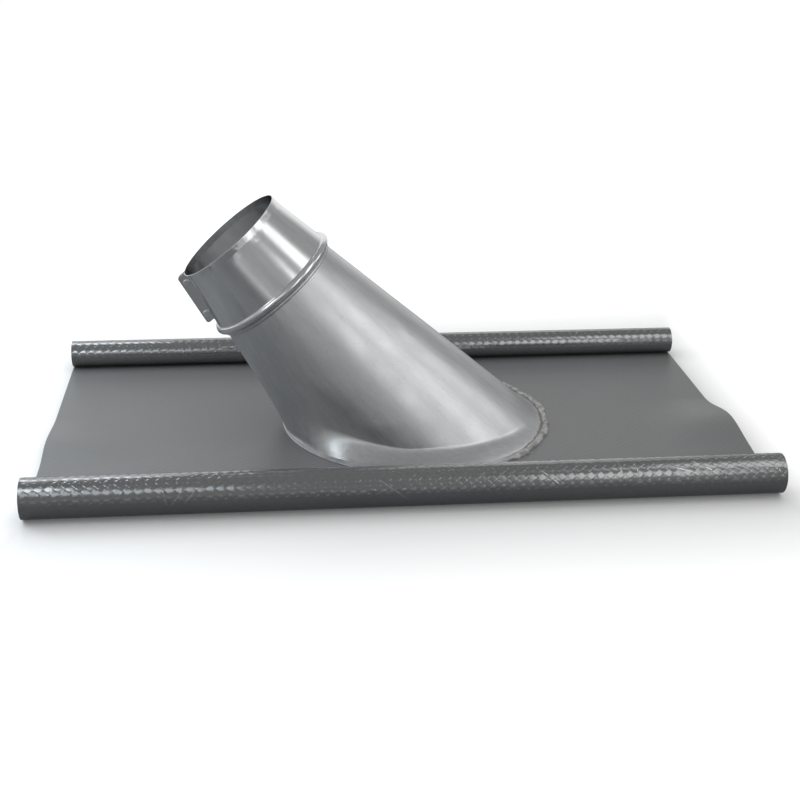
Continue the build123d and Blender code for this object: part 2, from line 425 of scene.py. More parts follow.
# %% Sizes of the cone
PIPE_LEAN_DEG = 39.8
PIPE_FOOT = Vector((8.5 * MM, 14 * MM, 0))
SEAT_DISTANCE = 259 * MM
SEAT_RADIUS = 86 * MM
CONE_HALF_ANGLE_DEG = 10.2
CONE_TOP = 273 * MM
CONE_WALL = 1.2 * MM
CONE_SPOKES = 320
BEAD_RADIUS = 3 * MM
BEAD_DISTANCE = 255.8 * MM
BEAD_STEPS = 8
WALL_SHARES = (0.25, 0.5, 0.75)
cone_slope = math.tan(math.radians(CONE_HALF_ANGLE_DEG))
pipe_lean = math.radians(PIPE_LEAN_DEG)
pipe_axis = Vector((-math.sin(pipe_lean), 0, math.cos(pipe_lean)))
pipe_side = Vector((math.cos(pipe_lean), 0, math.sin(pipe_lean)))


def on_cone(angle, distance, out=0):
    """A point at an angle round the pipe and a distance up it, on the plain cone or out from it."""
    spoke = pipe_side * math.cos(angle) + Vector((0, math.sin(angle), 0))
    radius = SEAT_RADIUS + (SEAT_DISTANCE - distance) * cone_slope + out
    return PIPE_FOOT + pipe_axis * distance + spoke * radius


def at_height(angle, height, out=0):
    """The point of the plain cone at a height above the roof."""
    foot = on_cone(angle, 0, out)
    way = on_cone(angle, CONE_TOP, out) - foot
    return foot + way * ((height - foot.z) / way.z)


print(f"cone's mouth: highest at {on_cone(0, CONE_TOP).z / MM:.1f} mm")

# %% The flare and the flange
FLARE_LOW, FLARE_CLIMB = 12 * MM, 95 * MM
FLARE_REACH_END, FLARE_REACH_SIDE = 4 * MM, 32 * MM
FLARE_BEND_LOW, FLARE_BEND_CLIMB = 2.2, 0.6
FLARE_STEPS = 14
flange_top = SHEET_THICKNESS + CONE_WALL


def flare_point(angle, share, base, out=0):
    """A point of the flare at a share of its way, from the flange up to the plain cone."""
    foot = at_height(angle, base, out)
    along = (foot.x - flange_centre.x) / HOLE_HALF_LENGTH
    across = (foot.y - flange_centre.y) / HOLE_HALF_WIDTH
    under_lean = max(-along, 0) ** 2
    plain = at_height(angle, base + (FLARE_LOW + FLARE_CLIMB * under_lean) * share, out)
    spread = (1 - share) ** (FLARE_BEND_LOW + FLARE_BEND_CLIMB * under_lean)
    return plain + spread * Vector((FLARE_REACH_END * along, FLARE_REACH_SIDE * across, 0))


def flange_point(angle, height):
    """A point of the flange's edge, straight out from the cone's foot."""
    foot = at_height(angle, flange_top)
    out = (foot.xy - flange_centre).normalized() * flange_radius
    return Vector((*(flange_centre + out), height))


print(f"flare: {FLARE_LOW / MM:.0f} mm high, up to {(FLARE_LOW + FLARE_CLIMB) / MM:.0f} mm under the lean")

# %% Join the cone's rings
def cone_profile(angle):
    """The wall's section at one angle: up the outside, over the mouth and down the inside."""
    steps = [step / FLARE_STEPS for step in range(FLARE_STEPS + 1)]
    section = [flange_point(angle, SHEET_THICKNESS), flange_point(angle, flange_top)]
    section += [flare_point(angle, share, flange_top) for share in steps]
    bead_low = on_cone(angle, BEAD_DISTANCE - BEAD_RADIUS)
    section += [section[-1].lerp(bead_low, share) for share in WALL_SHARES]
    for step in range(BEAD_STEPS + 1):
        turn = math.pi * step / BEAD_STEPS
        distance = BEAD_DISTANCE - BEAD_RADIUS * math.cos(turn)
        section.append(on_cone(angle, distance, BEAD_RADIUS * math.sin(turn)))
    section += [on_cone(angle, CONE_TOP), on_cone(angle, CONE_TOP, -CONE_WALL)]
    section += [flare_point(angle, share, SHEET_THICKNESS, -CONE_WALL) for share in steps[::-1]]
    return section


profiles = [cone_profile(math.tau * spoke / CONE_SPOKES) for spoke in range(CONE_SPOKES)]
cone = stack_rings("cone_shell", [list(ring) for ring in zip(*profiles)], closed=True)
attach(cone, "root")
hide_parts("cone")
print(f"cone: {len(cone.data.polygons)} faces")

# %% [markdown]
# ## The flange's edge
# Where no sealant covers it, the flange ends in a bare edge that the shears and a file have rounded. It is
# only about a millimetre thick, but it catches the light as a bright line, so it gets a thin round rim of its
# own. A bevel on the cone would do it too, but a rim can end where the sealant begins.

# %% Round the edge
EDGE_RADIUS = 0.75 * MM
EDGE_STATIONS = 240
EDGE_CORNERS = 10
EDGE_SUNK_SHARE = 0.3
edge_height = SHEET_THICKNESS + EDGE_RADIUS


def edge_ring(share):
    """The rim's section at a share of its way, from one end of the sealant round to the other."""
    angle = math.radians(SEALANT_END_DEG + share * (360 + SEALANT_START_DEG - SEALANT_END_DEG))
    spoke = Vector((math.cos(angle), math.sin(angle)))
    section = []
    for corner in range(EDGE_CORNERS):
        turn = -math.tau * corner / EDGE_CORNERS
        out = flange_radius + EDGE_RADIUS * (math.cos(turn) - EDGE_SUNK_SHARE)
        section.append((*(flange_centre + spoke * out), edge_height + EDGE_RADIUS * math.sin(turn)))
    return section


edge_shares = [station / EDGE_STATIONS for station in range(EDGE_STATIONS + 1)]
rim = stack_rings("flange_rim", [edge_ring(share) for share in edge_shares])
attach(rim, "root")
print(f"flange rim: {len(rim.data.polygons)} faces")

# %% [markdown]
# ## Bolts and nuts
# Two bolts draw the collar's ears together. A bolt head starts as a six-sided bar, and its free end is
# turned in a lathe, which cuts the corners to a cone. So a ring of the head lies at the hexagon or at the
# cone, whichever is nearer to the middle. The thread is a ridge that climbs by one pitch in a turn: rings a
# sixth of a pitch apart have their radius swell and shrink round the turn.

# %% Shape of heads, threads and nuts
HEX_FLATS = 8 * MM
HEX_CUT = 0.9 * MM
HEAD_HEIGHT = 3.5 * MM
NUT_HEIGHT = 4 * MM
BOLT_RADIUS = 2.5 * MM
THREAD_PITCH = 0.8 * MM
THREAD_DEPTH = 0.4 * MM
RING_POINTS = 48
RINGS_TO_A_PITCH = 6
CUT_SHARES = (0, 0.33, 0.67, 1)
angles = [math.tau * point / RING_POINTS for point in range(RING_POINTS)]


def ring_of(height, radii):
    """A ring of points at a height, with a radius for each angle."""
    return [(size * math.cos(angle), size * math.sin(angle), height) for angle, size in zip(angles, radii)]


def hex_ring(height, cut):
    """A hexagon of points at a height, turned down at its corners by a cut."""
    turned = HEX_FLATS / math.sqrt(3) - cut
    from_flats = [angle % (math.pi / 3) - math.pi / 6 for angle in angles]
    return ring_of(height, [min(HEX_FLATS / 2 / math.cos(angle), turned) for angle in from_flats])


def turned_end(height):
    """The rings of a hexagon's free end, where the lathe has cut its corners."""
    return [hex_ring(height - HEX_CUT * (1 - share), HEX_CUT * share) for share in CUT_SHARES]


def thread_ring(height, length):
    """A ring of the thread, which runs out at the bolt's end."""
    run_out = min((height + length) / THREAD_PITCH, 1)
    turns = [(height / THREAD_PITCH + angle / math.tau) % 1 for angle in angles]
    return ring_of(height, [BOLT_RADIUS - THREAD_DEPTH * (1 - run_out * abs(2 * turn - 1)) for turn in turns])


def make_bolt(name, length):
    """A bolt that stands on its head's seat at Z = 0, with its shank below."""
    steps = round(length / THREAD_PITCH * RINGS_TO_A_PITCH)
    rings = [thread_ring(-length * (1 - step / steps), length) for step in range(steps + 1)]
    return stack_rings(name, [*rings, hex_ring(0, 0), *turned_end(HEAD_HEIGHT)])


def make_nut(name):
    """A nut that stands on Z = 0, with a plain bore over its bolt."""
    bore = [ring_of(height, [BOLT_RADIUS] * RING_POINTS) for height in (NUT_HEIGHT, 0)]
    return stack_rings(name, [*bore, hex_ring(0, 0), *turned_end(NUT_HEIGHT)], closed=True)


# %% Set them into the ears
lean = Matrix.Rotation(-pipe_lean, 4, "Y")
fasteners = []
for place in ("upper", "lower"):
    bolt_low, bolt_high = (Vector(corner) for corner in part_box(place + "_clamp_bolt"))
    nut_low = Vector(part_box(place + "_clamp_nut")[0])
    middle = (bolt_low + bolt_high) / 2
    bolt_seat = Vector((middle.x, bolt_low.y + HEAD_HEIGHT, middle.z))
    nut_seat = Vector((middle.x, nut_low.y, middle.z))
    bolt = make_bolt(place + "_bolt", bolt_high.y - bolt_seat.y)
    bolt.matrix_world = Matrix.Translation(bolt_seat) @ lean @ Matrix.Rotation(math.radians(90), 4, "X")
    nut = make_nut(place + "_nut")
    nut.matrix_world = Matrix.Translation(nut_seat) @ lean @ Matrix.Rotation(math.radians(-90), 4, "X")
    for piece, node in ((bolt, place + "_clamp_bolt"), (nut, place + "_clamp_nut")):
        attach(piece, "root")
        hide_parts(node)
        fasteners.append(piece)
print("fasteners:", [piece.name for piece in fasteners])

# %% [markdown]
# ## Small tools for shader nodes
# A finish is a graph of nodes, and writing graphs out link by link hides what they do. A few helpers keep it
# readable: they add a node and fill its sockets, do sums, stretch a value from one range to another and blend
# two colours. A value that is a socket becomes a link, and any other value is set on the socket itself.

# %% Node helpers
MIX_SHARE, MIX_FIRST, MIX_SECOND, MIX_RESULT = 0, 6, 7, 2


def feed(tree, socket, value):
    """Links a socket to another one, or sets it to a plain value."""
    if isinstance(value, bpy.types.NodeSocket):
        tree.links.new(value, socket)
    else:
        socket.default_value = value


def add(tree, kind, inputs, **settings):
    """A new node with its settings made and its named inputs filled."""
    made = tree.nodes.new("ShaderNode" + kind)
    for name, value in settings.items():
        setattr(made, name, value)
    for name, value in inputs.items():
        feed(tree, made.inputs[name], value)
    return made


def calc(tree, operation, *values):
    """The result of a sum on one, two or three values."""
    made = tree.nodes.new("ShaderNodeMath")
    made.operation = operation
    for socket, value in zip(made.inputs, values):
        feed(tree, socket, value)
    return made.outputs["Value"]


def vector_calc(tree, operation, *values):
    """The outputs of a sum on two vectors."""
    return add(tree, "VectorMath", dict(enumerate(values)), operation=operation).outputs


def ramp(tree, value, low, high, start=0, end=1):
    """A value stretched from one range to another, and held there."""
    inputs = {"Value": value, "From Min": low, "From Max": high, "To Min": start, "To Max": end}
    return add(tree, "MapRange", inputs).outputs["Result"]


def blend(tree, share, first, second):
    """A colour between two colours."""
    made = add(tree, "Mix", {}, data_type="RGBA")
    for index, value in ((MIX_SHARE, share), (MIX_FIRST, first), (MIX_SECOND, second)):
        feed(tree, made.inputs[index], value)
    return made.outputs[MIX_RESULT]


def grey(level, warm=0):
    """A grey as a colour, a touch warmer or cooler if asked."""
    return level * (1 + warm), level, level * (1 - warm), 1


def relief(tree, surface, height):
    """Tilts a shader's normals as if the surface had that height, in metres."""
    bump = add(tree, "Bump", {"Height": height, "Strength": 1, "Distance": 1})
    feed(tree, surface["Normal"], bump.outputs["Normal"])


# %% [markdown]
# ## Shared effects
# The same few effects come back on every surface: cloudy patches from handling and weather, streaks that
# drawn metal keeps from its rollers, and pin specks where dirt or corrosion sits. The sheet has its emboss
# and creases. Each is a node group, so that it is made once and tuned by its sockets in each finish.

# %% Making and using groups
FLOAT, VECTOR = "NodeSocketFloat", "NodeSocketVector"


def new_group(name, sockets, results):
    """An empty group with named sockets. Gives the tree, what goes into it and what comes out of it."""
    tree = bpy.data.node_groups.new(name, "ShaderNodeTree")
    for socket, kind, value in sockets:
        made = tree.interface.new_socket(socket, in_out="INPUT", socket_type=kind)
        if kind == FLOAT:
            made.default_value = value
    for result in results:
        tree.interface.new_socket(result, in_out="OUTPUT", socket_type=FLOAT)
    return tree, tree.nodes.new("NodeGroupInput").outputs, tree.nodes.new("NodeGroupOutput").inputs


def use(tree, group, **inputs):
    """The outputs of a group placed in a tree."""
    made = tree.nodes.new("ShaderNodeGroup")
    made.node_tree = group
    for name, value in inputs.items():
        feed(tree, made.inputs[name], value)
    return made.outputs


# %% Groups for patches, streaks and specks
CLOUD_DETAIL = 4
STREAK_DETAIL = 5
STREAK_RANGE = (0.3, 0.7)

patches, given, result = new_group(
    "cloudy_patches", [("Vector", VECTOR, None), ("Scale", FLOAT, 10), ("Softness", FLOAT, 0.2)], ["Mask"]
)
pattern = {"Vector": given["Vector"], "Scale": given["Scale"], "Detail": CLOUD_DETAIL}
clouds = add(patches, "TexNoise", pattern)
low_end = calc(patches, "SUBTRACT", 0.5, given["Softness"])
high_end = calc(patches, "ADD", 0.5, given["Softness"])
feed(patches, result["Mask"], ramp(patches, clouds.outputs["Fac"], low_end, high_end))


def cloud(tree, place, scale, softness=0.3):
    """The mask of cloudy patches."""
    return use(tree, patches, Vector=place, Scale=scale, Softness=softness)["Mask"]


streaks, given, result = new_group(
    "drawn_streaks", [("Vector", VECTOR, None), ("Across", FLOAT, 200), ("Along", FLOAT, 4)], ["Mask"]
)
squeeze = add(streaks, "CombineXYZ", {"X": given["Across"], "Y": given["Across"], "Z": given["Along"]})
stretched = vector_calc(streaks, "MULTIPLY", given["Vector"], squeeze.outputs["Vector"])["Vector"]
lines = add(streaks, "TexNoise", {"Vector": stretched, "Scale": 1, "Detail": STREAK_DETAIL})
feed(streaks, result["Mask"], ramp(streaks, lines.outputs["Fac"], *STREAK_RANGE))

specks, given, result = new_group(
    "pin_specks",
    [("Vector", VECTOR, None), ("Scale", FLOAT, 300), ("Share", FLOAT, 0.1), ("Size", FLOAT, 0.3)],
    ["Mask"],
)
cells = add(specks, "TexVoronoi", {"Vector": given["Vector"], "Scale": given["Scale"]})
draw = add(specks, "SeparateColor", {"Color": cells.outputs["Color"]}).outputs["Red"]
chosen = calc(specks, "LESS_THAN", draw, given["Share"])
spot = ramp(specks, cells.outputs["Distance"], 0, given["Size"], 1, 0)
feed(specks, result["Mask"], calc(specks, "MULTIPLY", chosen, spot))
print("groups:", [group.name for group in (patches, streaks, specks)])

# %% A group for the emboss, in the sheet's own lattice
GROOVE_END = 0.25
lozenges, given, result = new_group(
    "embossed_lozenges", [("Lattice", VECTOR, None)], ["Groove", "Bow", "Tilt"]
)
lattice = add(lozenges, "SeparateXYZ", {"Vector": given["Lattice"]}).outputs
pillow = 1
cell = []
inside = []
for sign in ("ADD", "SUBTRACT"):
    line = calc(lozenges, sign, lattice["X"], lattice["Y"])
    wave = calc(lozenges, "SINE", calc(lozenges, "MULTIPLY", line, math.pi))
    pillow = calc(lozenges, "MULTIPLY", calc(lozenges, "ABSOLUTE", wave), pillow)
    cell.append(calc(lozenges, "FLOOR", line))
    inside.append(calc(lozenges, "SUBTRACT", calc(lozenges, "FRACT", line), 0.5))
across = calc(lozenges, "MULTIPLY", calc(lozenges, "SUBTRACT", *inside), 0.5)
along = calc(lozenges, "MULTIPLY", calc(lozenges, "ADD", *inside), 0.5)
clear = ramp(lozenges, pillow, 0, GROOVE_END)
number = add(lozenges, "CombineXYZ", {"X": cell[0], "Y": cell[1]}).outputs["Vector"]
draw = add(lozenges, "TexWhiteNoise", {"Vector": number}).outputs["Color"]
chance = add(lozenges, "SeparateColor", {"Color": draw}).outputs
tilt_across = calc(lozenges, "MULTIPLY", calc(lozenges, "SUBTRACT", chance["Red"], 0.5), across)
tilt_along = calc(lozenges, "MULTIPLY", calc(lozenges, "SUBTRACT", chance["Green"], 0.5), along)
tilt = calc(lozenges, "ADD", tilt_across, tilt_along)
bow = calc(lozenges, "MULTIPLY", across, across)
feed(lozenges, result["Groove"], calc(lozenges, "SUBTRACT", 1, clear))
feed(lozenges, result["Bow"], calc(lozenges, "MULTIPLY", bow, clear))
feed(lozenges, result["Tilt"], calc(lozenges, "MULTIPLY", tilt, clear))
print(f"{lozenges.name}: {len(lozenges.nodes)} nodes")

# %% A group for one crease, from a start to an end in the lattice
creases, given, result = new_group(
    "handling_crease",
    [("Lattice", VECTOR, None), ("Start", VECTOR, None), ("End", VECTOR, None), ("Width", FLOAT, 0.1)],
    ["Mask"],
)
way = vector_calc(creases, "SUBTRACT", given["End"], given["Start"])["Vector"]
step = vector_calc(creases, "SUBTRACT", given["Lattice"], given["Start"])["Vector"]
done = vector_calc(creases, "DOT_PRODUCT", step, way)["Value"]
whole = vector_calc(creases, "DOT_PRODUCT", way, way)["Value"]
share = ramp(creases, calc(creases, "DIVIDE", done, whole), 0, 1)
nearest = add(creases, "VectorMath", {0: way, "Scale": share}, operation="SCALE").outputs["Vector"]
apart = vector_calc(creases, "DISTANCE", step, nearest)["Value"]
feed(creases, result["Mask"], ramp(creases, apart, 0, given["Width"], 1, 0))
print(f"{creases.name}: {len(creases.nodes)} nodes")

# %% [markdown]
# ## The sheet's finish
# The sheet is a soft filled plastic with a thin grey skin. The face that shows on the rolls shines like foil,
# and the web's face is satin. On the rolls each pillow lies a little flatter than the roll and tilts its own
# way, so that the light breaks up into glints. The grooves get painted shade, and creases from handling are
# lighter. One function makes both faces, because they differ only in amounts.

# %% Start a material
def new_material(name):
    """A material with a principled shader. Gives the material, its tree and the shader's sockets."""
    material = bpy.data.materials.get(name) or bpy.data.materials.new(name)
    material.use_nodes = True
    tree = material.node_tree
    return material, tree, tree.nodes["Principled BSDF"].inputs


# %% The skin's amounts, and the creases from start to end in the lattice
SKIN_TINT = -0.012
MOTTLE_SCALE, MOTTLE_SHARE = 7, 0.04
GRAIN_SCALE, GRAIN_BLEND, GRAIN_SHADE = 500, 0.3, 0.85
GROOVE_SHADE_GREY = 0.6
GLOSS_SPREAD = 0.13
CREASE_WIDTH, CREASE_BLEND, CREASE_SHADE, CREASE_HEIGHT = 0.08, 0.5, 1.9, 0.12 * MM
BACK_CREASES = [
    ((63.8, -6.1), (67.5, -4.9)),
    ((67.2, -6.4), (69.0, -5.2)),
    ((59.5, -6.7), (59.7, -5.1)),
    ((61.1, -6.4), (61.5, -4.6)),
    ((13.9, -5.0), (14.2, -3.4)),
    ((16.0, -3.5), (17.3, -5.2)),
    ((14.7, -3.3), (15.8, -5.0)),
    ((35.2, -5.3), (38.1, -2.9)),
    ((51.3, -5.9), (53.3, -4.1)),
]


def sheet_finish(name, level, foil, gloss, groove_depth, groove_painted_shade, flat_share, tilt_slope, marks):
    """Grey skin with embossed lozenges, which may shine like foil and carry marks from handling."""
    _, tree, surface = new_material(name)
    surface["Metallic"].default_value = foil
    place = add(tree, "TexCoord", {}).outputs
    emboss = use(tree, lozenges, Lattice=place["UV"])
    mottle = cloud(tree, place["Object"], MOTTLE_SCALE)
    grain = cloud(tree, place["Object"], GRAIN_SCALE, 0.4)
    dull, bright = (grey(level * (1 + spread), SKIN_TINT) for spread in (-MOTTLE_SHARE, MOTTLE_SHARE))
    colour = blend(tree, mottle, dull, bright)
    grainy = calc(tree, "MULTIPLY", grain, GRAIN_BLEND)
    colour = blend(tree, grainy, colour, grey(level * GRAIN_SHADE, SKIN_TINT))
    # Painted shade: the grooves between the pillows are darkened in the colour.
    groove_shadow = calc(tree, "MULTIPLY", emboss["Groove"], groove_painted_shade)
    colour = blend(tree, groove_shadow, colour, grey(level * GROOVE_SHADE_GREY, SKIN_TINT))
    height = calc(tree, "MULTIPLY", emboss["Groove"], -groove_depth)
    bow_depth = flat_share * lozenge_y**2 / (2 * NEAR_ROLL_RADIUS)
    height = calc(tree, "MULTIPLY_ADD", emboss["Bow"], bow_depth, height)
    height = calc(tree, "MULTIPLY_ADD", emboss["Tilt"], tilt_slope * lozenge_y, height)
    for start, end in marks:
        ends = {"Start": (*start, 0), "End": (*end, 0)}
        mark = use(tree, creases, Lattice=place["UV"], **ends, Width=CREASE_WIDTH)["Mask"]
        colour = blend(tree, calc(tree, "MULTIPLY", mark, CREASE_BLEND), colour, grey(level * CREASE_SHADE))
        height = calc(tree, "MULTIPLY_ADD", mark, CREASE_HEIGHT, height)
    feed(tree, surface["Base Color"], colour)
    worn = calc(tree, "ADD", mottle, grain)
    rough = ramp(tree, worn, 0, 2, gloss * (1 - GLOSS_SPREAD), gloss * (1 + GLOSS_SPREAD))
    feed(tree, surface["Roughness"], rough)
    relief(tree, surface, height)


# %% Finish the sheet's two faces and its cut edge
EDGE_DARK, EDGE_LIGHT, EDGE_CRUMBS, EDGE_ROUGHNESS = 0.07, 0.16, 700, 0.75
rolled = {"level": 0.3, "foil": 0.9, "gloss": 0.18, "groove_depth": 0.08 * MM, "groove_painted_shade": 0.2}
sheet_finish("sheet_back", **rolled, flat_share=0.5, tilt_slope=0.045, marks=BACK_CREASES)
flat = {"level": 0.16, "foil": 0, "gloss": 0.39, "groove_depth": 0.12 * MM, "groove_painted_shade": 0.06}
sheet_finish("sheet_front", **flat, flat_share=0, tilt_slope=0, marks=[])
_, tree, surface = new_material("sheet_edge")
place = add(tree, "TexCoord", {}).outputs["Object"]
crumbs = cloud(tree, place, EDGE_CRUMBS, 0.25)
feed(tree, surface["Base Color"], blend(tree, crumbs, grey(EDGE_DARK), grey(EDGE_LIGHT)))
surface["Roughness"].default_value = EDGE_ROUGHNESS
print("sheet finishes:", [material.name for material in apron.data.materials])

# %% [markdown]
# ## The metals
# The cone was formed from soft aluminium, and it keeps faint lines along its slope. Where the sealant meets
# its foot, the crack gets painted shade. The collar is a thinner and brighter strip with small crimps at its
# lip.
# All of it is described in the pipe's own directions: the texture place is turned by the pipe's lean, so that
# one of its axes runs along the pipe.

# %% The metals' amounts, and the painted shade at the foot
LIP_START, LIP_FULL, LIP_SCALE = 332 * MM, 341 * MM, 65
FOOT_SHADE_WIDTH, FOOT_SHADE_RAGGED, FOOT_SHADE_SCALE = 2 * MM, 3 * MM, 90
FOOT_SHADE_START, FOOT_SHADE_FULL = 0.45 * flange_radius, 0.65 * flange_radius
FOOT_SHADE_GREY = grey(0.1, 0.05)
METAL_TINT, CLOUD_TINT = -0.01, -0.02
CLOUD_SCALE, CLOUD_BLEND = 22, 0.3
PIN_SCALE, PIN_SIZE, PIN_BLEND, PIN_HEIGHT = 330, 0.35, 0.5, -0.06 * MM
PIN_GREY = grey(0.25)
STREAK_WEAR, STREAK_HEIGHT = 0.5, 0.01 * MM
METAL_SMOOTH, METAL_WORN = 0.85, 1.2


def foot_painted_shade(tree, place):
    """A mask for painted shade in the crack where the sealant meets the foot, on the sealed side."""
    spot = add(tree, "SeparateXYZ", {"Vector": place}).outputs
    from_middle = calc(tree, "SUBTRACT", spot["X"], flange_centre.x)
    from_axis = calc(tree, "SUBTRACT", spot["Y"], flange_centre.y)
    squares = [calc(tree, "POWER", side, 2) for side in (from_middle, from_axis)]
    out = calc(tree, "SQRT", calc(tree, "ADD", *squares))
    ragged = cloud(tree, place, FOOT_SHADE_SCALE)
    edge = calc(tree, "MULTIPLY_ADD", ragged, -FOOT_SHADE_RAGGED, flange_radius - SEALANT_LAP)
    near_edge = ramp(tree, calc(tree, "SUBTRACT", out, edge), -FOOT_SHADE_WIDTH, 0)
    sealed_side = ramp(tree, from_middle, FOOT_SHADE_START, FOOT_SHADE_FULL)
    return calc(tree, "MULTIPLY", near_edge, sealed_side)


# %% Metal materials
def metal_finish(name, tones, gloss, grain, dents, speck_share, painted_shade=0, crimp=0):
    """Bright metal with drawn grain, cloudy patches, pin specks and dents, and painted crack shade or crimps
    if asked.
    """
    material, tree, surface = new_material(name)
    dark, light = tones
    along, across = grain
    dent_scale, dent_depth = dents
    turned = {"Location": PIPE_FOOT, "Rotation": (0, -pipe_lean, 0)}
    place = add(tree, "TexCoord", {}).outputs["Object"]
    mapped = add(tree, "Mapping", {"Vector": place, **turned}, vector_type="TEXTURE").outputs["Vector"]
    drawn = use(tree, streaks, Vector=mapped, Across=across, Along=along)["Mask"]
    cloudy = cloud(tree, mapped, CLOUD_SCALE, 0.2)
    dented = cloud(tree, mapped, dent_scale, 0.5)
    pins = use(tree, specks, Vector=mapped, Scale=PIN_SCALE, Share=speck_share, Size=PIN_SIZE)["Mask"]
    colour = blend(tree, drawn, grey(dark, METAL_TINT), grey(light, METAL_TINT))
    colour = blend(tree, calc(tree, "MULTIPLY", cloudy, CLOUD_BLEND), colour, grey(dark, CLOUD_TINT))
    colour = blend(tree, calc(tree, "MULTIPLY", pins, PIN_BLEND), colour, PIN_GREY)
    # Painted shade: the crack at the foot is darkened and made less metallic in the colour.
    foot_shade_share = calc(tree, "MULTIPLY", foot_painted_shade(tree, place), painted_shade)
    feed(tree, surface["Base Color"], blend(tree, foot_shade_share, colour, FOOT_SHADE_GREY))
    feed(tree, surface["Metallic"], calc(tree, "SUBTRACT", 1, foot_shade_share))
    worn = calc(tree, "ADD", cloudy, calc(tree, "MULTIPLY", drawn, STREAK_WEAR))
    rough = ramp(tree, worn, 0, 1 + STREAK_WEAR, gloss * METAL_SMOOTH, gloss * METAL_WORN)
    feed(tree, surface["Roughness"], rough)
    height = calc(tree, "MULTIPLY", dented, dent_depth)
    height = calc(tree, "MULTIPLY_ADD", drawn, STREAK_HEIGHT, height)
    height = calc(tree, "MULTIPLY_ADD", pins, PIN_HEIGHT, height)
    up_pipe = add(tree, "SeparateXYZ", {"Vector": mapped}).outputs["Z"]
    crumpled = cloud(tree, mapped, LIP_SCALE)
    at_lip = calc(tree, "MULTIPLY", ramp(tree, up_pipe, LIP_START, LIP_FULL), crumpled)
    relief(tree, surface, calc(tree, "MULTIPLY_ADD", at_lip, crimp, height))
    return material


def paint(piece, material):
    """Gives a piece one material."""
    piece.data.materials.clear()
    piece.data.materials.append(material)


formed = {"tones": (0.63, 0.73), "gloss": 0.38, "grain": (3, 160), "dents": (14, 0.5 * MM)}
cone_metal = metal_finish("cone_metal", **formed, speck_share=0.16, painted_shade=0.9)
bright = {"tones": (0.72, 0.83), "gloss": 0.2, "grain": (3, 90), "dents": (18, 0.25 * MM)}
collar_metal = metal_finish("collar_metal", **bright, speck_share=0.02, crimp=0.5 * MM)
hard = {"tones": (0.8, 0.92), "gloss": 0.22, "grain": (200, 200), "dents": (60, 0.1 * MM)}
fastener_steel = metal_finish("fastener_steel", **hard, speck_share=0.05)
for piece in (cone, rim):
    paint(piece, cone_metal)
paint(nodes["storm_collar"], collar_metal)
for piece in fasteners:
    paint(piece, fastener_steel)

# %% Sealant material
SMEAR_SCALE, SMEAR_DARK, SMEAR_LIGHT, SEALANT_TINT = 120, 0.2, 0.5, 0.02
CRUMB_SCALE, CRUMB_HEIGHT = 260, 0.8 * MM
SEALANT_ROUGHNESS = 0.62
sealant_grey, tree, surface = new_material("sealant_grey")
place = add(tree, "TexCoord", {}).outputs["Object"]
smears = cloud(tree, place, SMEAR_SCALE, 0.2)
dark, light = (grey(level, SEALANT_TINT) for level in (SMEAR_DARK, SMEAR_LIGHT))
feed(tree, surface["Base Color"], blend(tree, smears, dark, light))
surface["Roughness"].default_value = SEALANT_ROUGHNESS
crumbs = cloud(tree, place, CRUMB_SCALE)
relief(tree, surface, calc(tree, "MULTIPLY", crumbs, CRUMB_HEIGHT))
sealant.data.materials.clear()
sealant.data.materials.append(sealant_grey)
print("metals and sealant are painted")

# %% [markdown]
# ## Camera, floor and light
# The camera stands where the photograph was taken from, worked out from the sheet's corners. Small soft boxes
# left and right make the bright stripes on the metal and the rolls, and two fills that mirrors don't see even
# out the rest. A dark cloth and a grey board give the metal something to reflect. The floor is matt and lifts
# itself to white away from the object, under the pipe it glows as painted light for the cone's inside, and
# the sky is white to the camera.

# %% Camera
CAMERA_PLACE = Vector((-0.1662, -1.6665, 0.7382))
CAMERA_YAW_DEG = 6.046
CAMERA_PITCH_DEG = 22.746
CAMERA_ROLL_DEG = 0.74
CAMERA_LENS = 59.75
camera = bpy.data.objects.new("camera", bpy.data.cameras.new("camera"))
camera.data.lens = CAMERA_LENS
turn_right = Matrix.Rotation(math.radians(-CAMERA_YAW_DEG), 4, "Z")
tip_down = Matrix.Rotation(math.radians(90 - CAMERA_PITCH_DEG), 4, "X")
level = Matrix.Rotation(math.radians(CAMERA_ROLL_DEG), 4, "Z")
camera.matrix_world = Matrix.Translation(CAMERA_PLACE) @ turn_right @ tip_down @ level
bpy.context.scene.collection.objects.link(camera)
bpy.context.scene.camera = camera
bpy.context.scene.view_settings.view_transform = "Standard"
print(f"camera: {CAMERA_PLACE.length:.2f} m away, {CAMERA_LENS} mm lens")

# %% Floor
FLOOR_HALF = 20
FLOOR_DROP = 0.3 * MM
corners = [(-1, -1), (1, -1), (1, 1), (-1, 1)]
floor_points = [(FLOOR_HALF * x, FLOOR_HALF * y, -FLOOR_DROP) for x, y in corners]
floor = piece_from("floor", floor_points, [[0, 1, 2, 3]])
print(f"floor: {2 * FLOOR_HALF} m wide")

